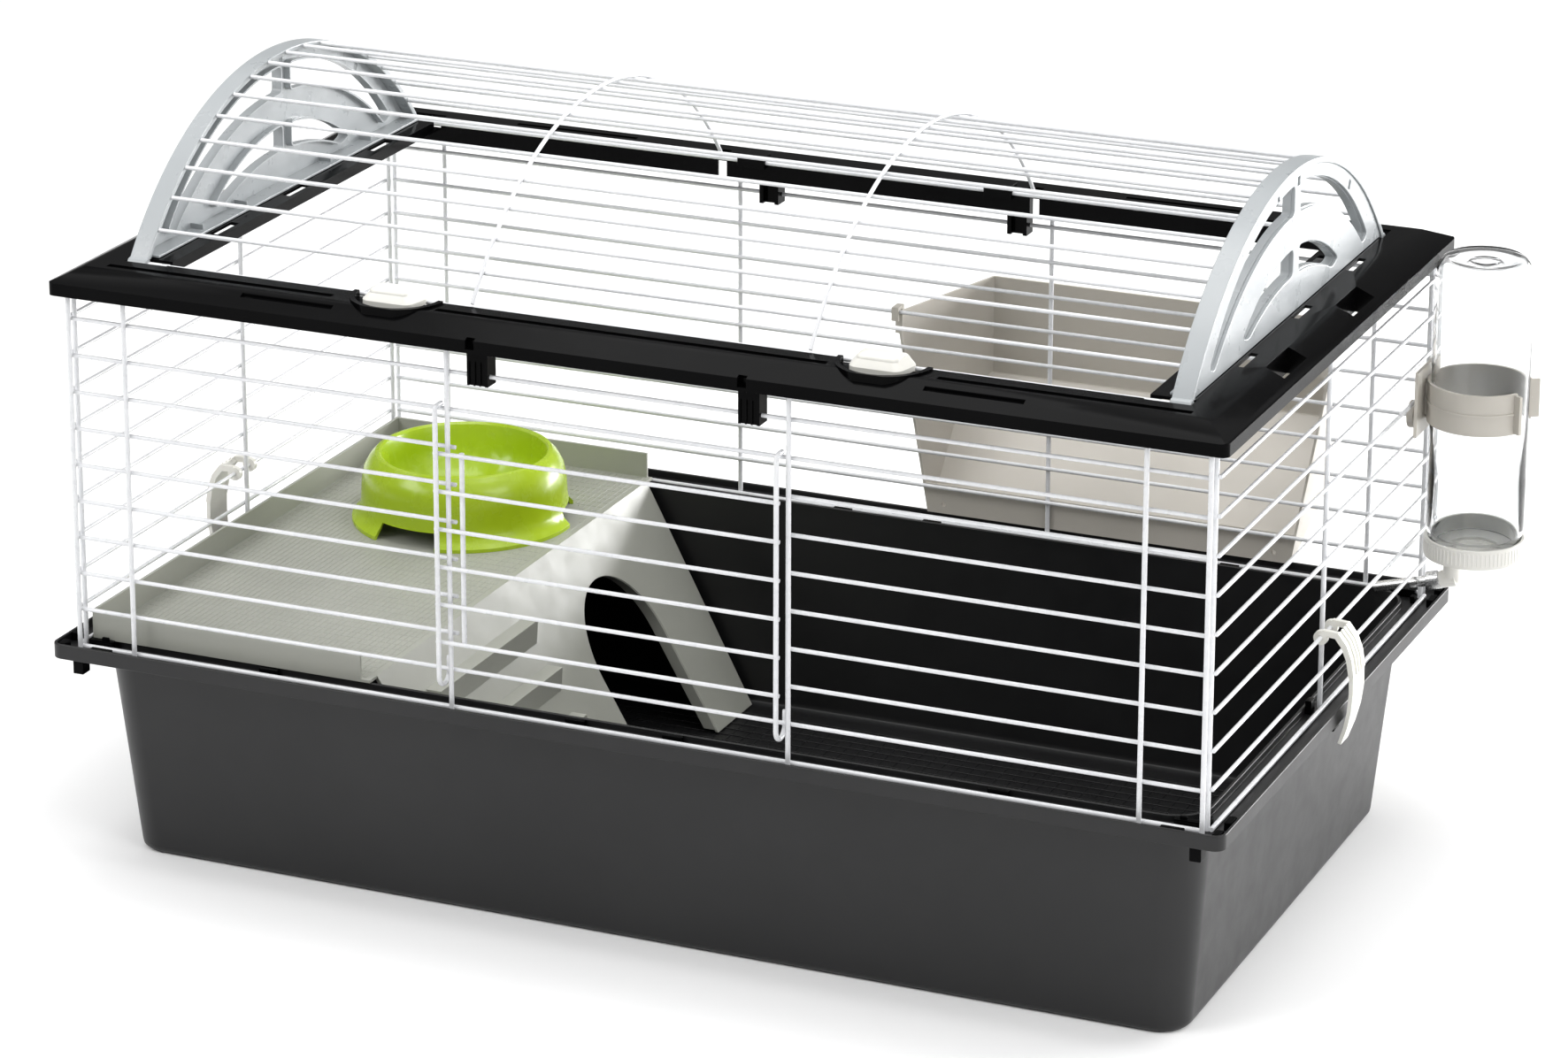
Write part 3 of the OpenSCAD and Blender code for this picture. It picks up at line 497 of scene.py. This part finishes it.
def filleted(outline, radius, cuts=5):
    """Rounds the sharp corners of a closed outline; shallow corners stay as they are."""
    loop = [Vector(p) for p in outline]
    count = len(loop)
    sharp = []
    for i in range(count):
        back, ahead = loop[i - 1] - loop[i], loop[(i + 1) % count] - loop[i]
        if back.angle(ahead, math.pi) <= math.radians(150):
            sharp.append(i)
    out = []
    for i, p in enumerate(loop):
        if i in sharp:
            start, end = walk(loop, i, -1, radius), walk(loop, i, 1, radius)
            for k in range(cuts + 1):
                t = k / cuts
                out.append((1 - t) ** 2 * start + 2 * t * (1 - t) * p + t * t * end)
        elif all((p - loop[j]).length >= radius * 0.98 for j in sharp):
            out.append(p)
    return [tuple(p) for p in out]


def plate(name, outline, holes, thickness, edge):
    """A flat plate with rounded edges and holes, lying in its own XY plane."""
    curve = bpy.data.curves.new(name, "CURVE")
    curve.dimensions = "2D"
    curve.fill_mode = "BOTH"
    curve.extrude = (thickness / 2 - edge) * MM
    curve.bevel_depth = edge * MM
    curve.bevel_resolution = 2
    curve.offset = -edge * MM
    for loop in [outline] + holes:
        spline = curve.splines.new("POLY")
        spline.points.add(len(loop) - 1)
        for point, (u, v) in zip(spline.points, loop):
            point.co = (u * MM, v * MM, 0, 1)
        spline.use_cyclic_u = True
    ob = bpy.data.objects.new(name, curve)
    bpy.context.scene.collection.objects.link(ob)
    deps = bpy.context.evaluated_depsgraph_get()
    mesh = bpy.data.meshes.new_from_object(ob.evaluated_get(deps))
    bpy.data.objects.remove(ob)
    return mesh


def ribbon(name, loop, x0, x1, thickness):
    """A wall of even thickness that follows a closed outline in Y-Z from x0 to x1."""
    bm = bmesh.new()
    near = [bm.verts.new((x0 * MM, y * MM, z * MM)) for y, z in loop]
    far = [bm.verts.new((x1 * MM, y * MM, z * MM)) for y, z in loop]
    count = len(loop)
    for i in range(count):
        j = (i + 1) % count
        bm.faces.new((near[i], near[j], far[j], far[i]))
    ob = bpy.data.objects.new(name, finished_mesh(bm, name))
    bpy.context.scene.collection.objects.link(ob)
    baked(ob, "SOLIDIFY", {"thickness": thickness * MM, "offset": 0})
    mesh = ob.data
    bpy.data.objects.remove(ob)
    return mesh


def dome_arc(radius, steps):
    """Points (y, z) on the dome's arc at a radius, from one foot of the web to the other."""
    half = math.acos((WEB_Z - DOME_Z) / radius)
    points = []
    for i in range(steps + 1):
        a = -half + 2 * half * i / steps
        points.append((radius * math.sin(a), DOME_Z + radius * math.cos(a)))
    return points


def small_slot(degrees):
    """A little slanted slot under the dome's edge, at an angle from the top."""
    t = math.radians(degrees)
    out, across = Vector((math.sin(t), math.cos(t))), Vector((math.cos(t), -math.sin(t)))
    mid = Vector((0, DOME_Z)) + out * (DOME_R - 10)
    corners = ((-1, -1), (1, -1), (1, 1), (-1, 1))
    return [tuple(mid + out * v * 3.4 + across * u * 2.6) for u, v in corners]


def upright_plate(name, outline, holes, thickness, edge, x):
    """A plate that stands in the Y-Z plane at x."""
    mesh = plate(name, outline, holes, thickness, edge)
    to_yz = Matrix(((0, 0, 1, 0), (1, 0, 0, 0), (0, 1, 0, 0), (0, 0, 0, 1)))
    mesh.transform(Matrix.Translation((x * MM, 0, 0)) @ to_yz)
    return mesh


def roof_end_meshes(name):
    """The right end arch: a pierced web, lips round its openings and an outer band."""
    windows = []
    for outer, inner in (
        ((188, 91, WEB_Z + 8), (174, 69, WEB_Z + 7)),
        ((116, 40, WEB_Z + 10), (98, 20, WEB_Z + 9)),
    ):
        windows += [filleted(loop, 5) for loop in crescent(outer, inner, 8, 14)]
    slots = [small_slot(degrees) for degrees in (-8, 2, 30)]
    band = dome_arc(DOME_R + 2, 120) + dome_arc(DOME_R - 2.6, 120)[::-1]
    meshes = [upright_plate(name, dome_arc(DOME_R - 1, 96), windows + slots, 4, 0.7, WEB_X)]
    meshes += [ribbon(name + "_lip", loop, 419, 425.5, 1.5) for loop in windows]
    meshes.append(upright_plate(name + "_band", band, [], ARCH_W, 0.8, ARCH_X))
    return meshes


def joined(name, meshes):
    """One mesh from several."""
    bm = bmesh.new()
    for mesh in meshes:
        bm.from_mesh(mesh)
        bpy.data.meshes.remove(mesh)
    bmesh.ops.remove_doubles(bm, verts=bm.verts, dist=2e-6)
    return finished_mesh(bm, name)


def roof_lugs(side):
    """The two round bosses of one arch that its rods end in."""
    profile = [(1.9, 414), (3.9, 414), (4.4, 414.6), (4.4, 429.4), (3.9, 430), (1.9, 430)]
    lugs = []
    for y in (-ROD_Y, ROD_Y):
        lug = lathe("roof_lug", profile, (0, 0), 40)
        place = Matrix.Translation((0, y * MM, ROD_Z * MM))
        lug.transform(place @ Matrix.Rotation(math.pi / 2, 4, "Y"))
        lugs.append(lug if side > 0 else mirrored(lug, "roof_lug_left"))
    return joined("roof_lugs", lugs)


def make_roof_ends():
    """Both end arches, each of three pieces: the arch, its foot strip with gussets, and its lugs."""
    foot = [((409.5, -216, WEB_Z), (425, 216, WEB_Z + 2))]
    for y in (-140, -70, 70, 140):
        foot.append(((413.5, y - 1, WEB_Z + 1.5), (425, y + 1, WEB_Z + 6)))
    right_arch = joined("roof_end_right_arch", roof_end_meshes("roof_end_web"))
    right_foot = boxes("roof_end_foot", foot)
    left_arch = mirrored(right_arch, "roof_end_left_arch")
    left_foot = mirrored(right_foot, "roof_end_left_foot")
    for side, name, arch_mesh, foot_mesh in (
        (1, "right", right_arch, right_foot),
        (-1, "left", left_arch, left_foot),
    ):
        arch = add_object(f"roof_end_{name}_arch", arch_mesh, "roof", "grey_plastic")
        smooth(arch.data, 12)
        strip = add_object(f"roof_end_{name}_foot", foot_mesh, "roof", "grey_plastic")
        bevelled(strip, 0.0005)
        lugs = add_object(f"roof_end_{name}_lugs", roof_lugs(side), "roof", "grey_plastic")
        smooth(lugs.data)
        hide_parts(f"roof_end_{name}")


# ---------------------------------------------------------------- house, bottle and small details


def slope_x(z):
    """Where the house's slope is at height z."""
    return SLOPE_X + (DECK_Z - z) * SLOPE_RUN / (DECK_Z - SLOPE_FOOT)


def spans_beside_disc(offset, middle, radius, low, high):
    """The parts of a line from low to high that lie outside a disc, offset from its middle."""
    reach = radius**2 - offset**2
    if reach <= 0:
        return [(low, high)]
    half = math.sqrt(reach)
    return [(low, middle - half), (middle + half, high)]


def make_deck_pattern():
    """Fine raised lines both ways on the platform, but not where the bowl stands."""
    spot_x, spot_y, spot_r = FOOD_SPOT
    lines = []
    for i in range(47):
        x = -450 + i * 5
        for y0, y1 in spans_beside_disc(x - spot_x, spot_y, spot_r, -252, 252):
            lines.append(((x - 0.45, y0, DECK_Z - 0.3), (x + 0.45, y1, DECK_Z + 0.35)))
    for i in range(50):
        y = -250 + i * 10
        for x0, x1 in spans_beside_disc(y - spot_y, spot_x, spot_r, -450, -219):
            if x1 - x0 > 2:
                lines.append(((x0, y - 0.35, DECK_Z - 0.3), (x1, y + 0.35, DECK_Z + 0.25)))
    mesh = boxes("house_deck_pattern", lines)
    pattern = add_object("house_deck_pattern", mesh, "house", "cream_plastic", "shaded_house_plastic")
    bevelled(pattern, 0.00015, 1)


def make_door_return():
    """The lining that turns inwards round the house's arched doorway."""
    middle, half, sill, spring = 100, 60.3, 6, 88
    path = [(middle - half, sill)]
    for i in range(33):
        a = math.pi - math.pi * i / 32
        path.append((middle + half * math.cos(a), spring + half * math.sin(a)))
    path.append((middle + half, sill))
    bm = bmesh.new()
    rows = []
    for y, z in path:
        depths = (slope_x(z) - 0.6, slope_x(z) - 12)
        rows.append([bm.verts.new((x * MM, y * MM, z * MM)) for x in depths])
    for p, q in zip(rows, rows[1:]):
        bm.faces.new((p[0], q[0], q[1], p[1]))
    mesh = finished_mesh(bm, "house_door_return")
    lining = add_object("house_door_return", mesh, "house", "cream_plastic", "shaded_house_plastic")
    baked(lining, "SOLIDIFY", {"thickness": 2.2 * MM, "offset": 0})
    bevelled(lining, 0.0005)


def make_bottle():
    """The clear bottle: its outside from the dimpled base down to the neck, then its inside."""
    r, top, neck = BOTTLE_R, BOTTLE_TOP, BOTTLE_NECK
    profile = [
        (0, top - 5.0),
        (7, top - 4.6),
        (9, top - 3.2),
        (12, top - 3.0),
        (14, top - 5.0),
        (19, top - 4.8),
        (24, top - 2.0),
        (28, top - 0.3),
        (30.5, top - 0.2),
        (33.5, top - 2),
        (36.4, top - 6.5),
        (38, top - 11),
        (r, top - 17),
        (r, 330),
        (r - 0.25, 327),
        (r - 0.25, 300),
        (r, 297),
        (r, neck + 13),
        (r - 0.9, neck + 10.6),
        (r - 2, neck + 9.2),
        (r - 2, neck + 7.6),
        (r - 2.4, neck + 6.9),
        (r - 2, neck + 6.2),
        (r - 2, neck - 4),
        (r - 4, neck - 4),
        (r - 4, neck + 9.4),
        (r - 1.9, neck + 13.4),
        (r - 1.9, top - 17.2),
        (36, top - 11.6),
        (34.4, top - 7.6),
        (31.8, top - 3.8),
        (29, top - 2.2),
        (24, top - 4),
        (19, top - 6.6),
        (14, top - 6.8),
        (11.6, top - 5),
        (8.4, top - 5.2),
        (6.6, top - 6.6),
        (0, top - 7),
    ]
    mesh = lathe("bottle_shell", profile, BOTTLE_AXIS, 128)
    ob = add_object("bottle_shell", mesh, "bottle", "clear_plastic")
    smooth(ob.data, 60)
    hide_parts("bottle")


def make_cap_details():
    """Two raised rings inside the bottle's cap, and the grip ridges round it."""
    rings = []
    for r, h in ((14, 1.1), (19, 0.9)):
        top = CAP_FLOOR + h
        profile = [(r - 0.8, CAP_FLOOR), (r - 0.5, top), (r + 0.5, top), (r + 0.8, CAP_FLOOR)]
        rings.append(lathe("ring", profile, BOTTLE_AXIS, 72))
    ob = add_object("cap_rings", joined("cap_rings", rings), "cage", "cap_plastic")
    smooth(ob.data, 60)
    bm = bmesh.new()
    axis = Matrix.Translation((BOTTLE_AXIS[0] * MM, BOTTLE_AXIS[1] * MM, CAP_Z * MM))
    ridge = Matrix.Translation((CAP_R * MM, 0, 0)) @ Matrix.Diagonal((0.0006, 0.0012, 0.011, 1))
    for i in range(72):
        turn = Matrix.Rotation(2 * math.pi * i / 72, 4, "Z")
        bmesh.ops.create_cube(bm, size=1, matrix=axis @ turn @ ridge)
    ob = add_object("cap_grip", finished_mesh(bm, "cap_grip"), "cage", "cap_plastic")
    bevelled(ob, 0.0002, 1)


def make_latch_pads():
    """The raised thumb pad on each latch."""
    for side, name in ((-1, "left"), (1, "right")):
        middle = Vector((side * LATCH_X, -ROD_Y - 13, 0))
        loops = []
        for z, half_x, half_y, r in (
            (490.8, 16.5, 10.0, 5),
            (492.6, 16.2, 9.8, 5),
            (494.0, 15.0, 8.8, 4.6),
            (494.9, 12.6, 6.8, 4.0),
            (495.2, 9.4, 4.4, 3.0),
        ):
            loops.append([p + middle for p in rounded_loop(half_x, half_y, r, z, 6, 3)])
        ob = add_object(f"latch_pad_{name}", loft("latch_pad", loops), f"latch_{name}", "cream_plastic")
        smooth(ob.data, 60)


# How far each CAD node's edges are rounded, in metres
BEVELS = {
    "top_frame": 0.0011,
    "latch_left": 0.0012,
    "latch_right": 0.0012,
    "side_clip_left": 0.0006,
    "side_clip_right": 0.0006,
    "house": 0.001,
    "bowl": 0.0012,
    "hay_feeder": 0.0007,
    "bottle_ring": 0.0007,
    "ring_nut": 0.001,
    "bottle_cap": 0.0009,
    "frame_clips_front": 0.0005,
    "frame_clips_back": 0.0005,
    "hinge_caps": 0.0006,
    "rim_hooks": 0.0005,
    "corner_tabs": 0.0008,
    "cap_seal": 0.0004,
    "spout_nozzle": 0.0004,
    "spout_collar": 0.0006,
    "spout_tube": 0.0004,
    "spout_ball": 0.0001,
}
WIRE_BEVEL = 0.0004

for node, size in BEVELS.items():
    refine(node, size)
for node, node_slot in NODE_SLOT.items():
    if node_slot == "white_wire":
        refine(node, WIRE_BEVEL)
make_tub()
make_roof_ends()
make_deck_pattern()
make_door_return()
make_bottle()
make_cap_details()
make_latch_pads()


# ---------------------------------------------------------------- stage, light, camera


def stage_floor():
    """A pale painted floor, 24 m across."""
    bm = bmesh.new()
    bmesh.ops.create_grid(bm, x_segments=2, y_segments=2, size=12)
    ob = bpy.data.objects.new("floor", finished_mesh(bm, "floor"))
    bpy.context.scene.collection.objects.link(ob)
    mat, tree, bsdf = new_material("floor_paint")
    paint = cloudy(tree, noise(tree, 2, 2), (0.93, 0.93, 0.93), (0.95, 0.95, 0.95))
    tree.links.new(paint, bsdf.inputs["Base Color"])
    bsdf.inputs["Roughness"].default_value = 0.75
    ob.data.materials.append(mat)


def area_light(name, place, target, size, power):
    """A soft rectangular lamp at place, turned towards target, both in metres."""
    light = bpy.data.lights.new(name, "AREA")
    light.shape = "RECTANGLE"
    light.size, light.size_y = size
    light.energy = power
    ob = bpy.data.objects.new(name, light)
    ob.location = place
    aim = Vector(target) - Vector(place)
    ob.rotation_euler = aim.to_track_quat("-Z", "Y").to_euler()
    bpy.context.scene.collection.objects.link(ob)


def dome_light(spread_angle, strength):
    """A soft overhead dome: a sun as wide as most of the sky."""
    light = bpy.data.lights.new("dome", "SUN")
    light.angle = math.radians(spread_angle)
    light.energy = strength
    ob = bpy.data.objects.new("dome", light)
    ob.location = (0, 0, 4)
    bpy.context.scene.collection.objects.link(ob)


def world_light(strength):
    """A dim even surround, which the glossy black plastic reflects."""
    world = bpy.data.worlds.new("studio")
    world.use_nodes = True
    back = world.node_tree.nodes["Background"]
    back.inputs[0].default_value = (1, 1, 1, 1)
    back.inputs[1].default_value = strength
    bpy.context.scene.world = world


def long_lens_camera():
    """A far camera in front of the cage, to its right and above it; angles are in radians."""
    yaw, pitch, roll = -0.39359, 0.29238, -0.00693
    level = Vector((math.sin(yaw), math.cos(yaw), 0))
    side = Vector((math.cos(yaw), -math.sin(yaw), 0))
    ahead = level * math.cos(pitch) - Vector((0, 0, math.sin(pitch)))
    down = ahead.cross(side)
    right = math.cos(roll) * side + math.sin(roll) * down
    up = math.sin(roll) * side - math.cos(roll) * down
    turn = Matrix((right, up, -ahead)).transposed()
    cam = bpy.data.cameras.new("camera")
    cam.sensor_width = 36
    cam.lens = 123.60474
    cam.shift_x, cam.shift_y = -0.0504515, -0.1836907
    cam.clip_end = 60
    ob = bpy.data.objects.new("camera", cam)
    ob.matrix_world = Matrix.Translation((1.59794, -3.64666, 1.68756)) @ turn.to_4x4()
    bpy.context.scene.collection.objects.link(ob)
    bpy.context.scene.camera = ob


stage_floor()
bpy.context.scene.view_settings.view_transform = "Standard"
world_light(0.2)
dome_light(110, 1.8)
area_light("key", (-2.2, -2.4, 2.6), (0, 0, 0.2), (2.2, 1.6), 60)
area_light("fill", (2.8, -1.2, 1.8), (0.1, 0, 0.2), (1.8, 1.8), 34)
area_light("rim", (2.5, 3.2, 0.6), (0.45, 0, 0.1), (3.0, 1.2), 220)
area_light("top", (0, 0.3, 3.2), (0, 0, 0), (3, 2), 50)
long_lens_camera()
